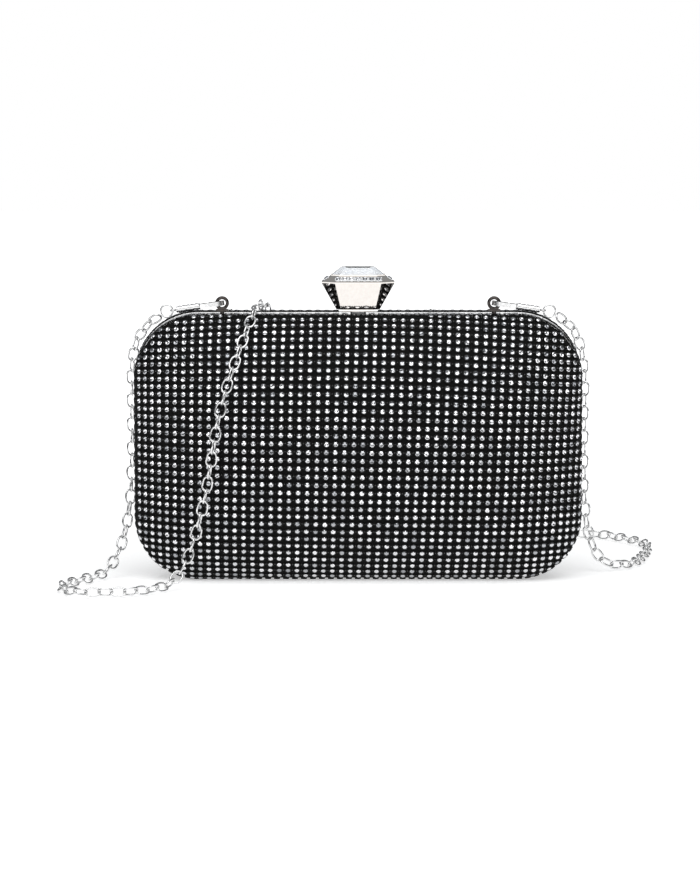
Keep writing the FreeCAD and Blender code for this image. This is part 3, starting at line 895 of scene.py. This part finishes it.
def paint_cad(materials):
    paint(materials["board"], "front_shell", "rear_shell")
    paint(materials["frame"], "front_frame", "rear_frame")
    paint(materials["steel"], "hinge_front_knuckles", "hinge_rear_knuckles", "hinge_pins", "clasp_pin",
          "clasp_spring", "latch_catch", "clasp_latch", "eye_washers")
    paint(materials["clasp"], "clasp_body", "clasp_base", "clasp_bezel")
    paint(materials["eye"], "chain_eye_left", "chain_eye_right")
    for side in ("left", "right"):
        paint(materials["hook"], "hook_body_" + side, "hook_gate_" + side, "hook_gate_pin_" + side,
              "hook_spring_" + side, "hook_swivel_" + side, "hook_ring_" + side)
    paint(materials["crystal"], "clasp_crystal")


# ---- Studio ---------------------------------------------------------------------------------

def area_light(name, place, aim, width, height, power):
    light = bpy.data.lights.new(name, "AREA")
    light.shape = "RECTANGLE"
    light.size = width
    light.size_y = height
    light.energy = power
    obj = bpy.data.objects.new(name, light)
    obj.location = place
    obj.rotation_euler = (Vector(aim) - Vector(place)).to_track_quat("-Z", "Y").to_euler()
    bpy.context.scene.collection.objects.link(obj)
    return obj


def make_world():
    """White to the camera; to everything else a grey sky that is dark low at the sides."""
    world = bpy.data.worlds.new("studio")
    world.use_nodes = True
    bpy.context.scene.world = world
    nodes, links = world.node_tree.nodes, world.node_tree.links
    place = nodes.new("ShaderNodeTexCoord")
    parts = nodes.new("ShaderNodeSeparateXYZ")
    links.new(place.outputs["Generated"], parts.inputs[0])
    sky = nodes.new("ShaderNodeValToRGB")
    sky.color_ramp.elements[0].color = (0.03, 0.03, 0.03, 1)
    sky.color_ramp.elements[1].color = (0.42, 0.43, 0.44, 1)
    links.new(parts.outputs["Z"], sky.inputs["Fac"])
    seen = nodes.new("ShaderNodeLightPath")
    straight = nodes.new("ShaderNodeMath")
    straight.operation = "MAXIMUM"
    links.new(seen.outputs["Is Camera Ray"], straight.inputs[0])
    links.new(seen.outputs["Is Transmission Ray"], straight.inputs[1])
    choice = nodes.new("ShaderNodeMixRGB")
    links.new(straight.outputs["Value"], choice.inputs["Fac"])
    links.new(sky.outputs["Color"], choice.inputs["Color1"])
    choice.inputs["Color2"].default_value = (1, 1, 1, 1)
    background = nodes["Background"]
    links.new(choice.outputs["Color"], background.inputs["Color"])
    background.inputs["Strength"].default_value = 1.0


def make_floor(material):
    mesh = bpy.data.meshes.new("floor")
    work = bmesh.new()
    bmesh.ops.create_circle(work, cap_ends=True, segments=96, radius=6.0)
    work.to_mesh(mesh)
    work.free()
    mesh.materials.append(material)
    floor = bpy.data.objects.new("floor", mesh)
    bpy.context.scene.collection.objects.link(floor)


def make_camera():
    """Straight on and a little above the bag."""
    camera = bpy.data.objects.new("camera", bpy.data.cameras.new("camera"))
    camera.data.lens = CAMERA_LENS
    camera.data.sensor_width = 36.0
    camera.data.clip_start = 0.05
    camera.data.clip_end = 30.0
    camera.location = CAMERA_PLACE
    camera.rotation_euler = (math.radians(90 - CAMERA_DROP), 0, 0)
    bpy.context.scene.collection.objects.link(camera)
    bpy.context.scene.camera = camera


def make_studio():
    make_world()
    make_floor(floor_finish())
    area_light("overhead", (0, -0.75, 1.25), (0, 0, 0.03), 1.8, 1.4, 17)
    area_light("front", (0, -2.3, 0.55), (0, 0, 0.06), 1.0, 0.8, 2.2)
    view = bpy.context.scene.view_settings
    view.view_transform = "Standard"
    view.look = "None"
    make_camera()


# ---- Build ----------------------------------------------------------------------------------

materials = {
    "stone": stone_finish(),
    "enamel": enamel_finish("black_setting", 0.004, 0.016, 0.35, 0.6, 0.0),
    "knob": enamel_finish("black_knob", 0.06, 0.12, 0.15, 0.30, 0.8),
    "foil": foil_finish(),
    "cloth": cloth_finish(),
    "satin": satin_finish(),
    "foam": foam_finish(),
    "board": board_finish(),
    "crystal": crystal_finish(),
    "frame": metal("frame_metal", grey(0.72), grey(0.88), 0.10, 0.22),
    "steel": metal("steel", grey(0.35), grey(0.55), 0.25, 0.40),
    "clasp": metal("clasp_metal", (0.79, 0.75, 0.71), (0.86, 0.82, 0.78), 0.02, 0.06, bump=0.000002),
    "eye": metal("eye_metal", (0.045, 0.040, 0.038), (0.10, 0.09, 0.085), 0.22, 0.38),
    "hook": metal("hook_metal", grey(0.62), grey(0.80), 0.14, 0.28),
    "chain": metal("chain_metal", grey(0.66), grey(0.84), 0.12, 0.24),
}

make_studio()
make_chain(materials["chain"])
paint_cad(materials)
make_crystal_foil(materials["foil"])
make_pave(materials)
for name, side, body, drop in (("front", -1, "root", FRONT_DROP), ("rear", 1, "rear_half", -REAR_RISE)):
    make_cover(name, side, body, drop, materials)
    make_padding(name, side, body, materials["foam"])
    make_lining(name, side, body, materials["satin"])
make_slip_pocket(materials["satin"])
make_gusset("left", materials["satin"])
make_gusset("right", materials["satin"])
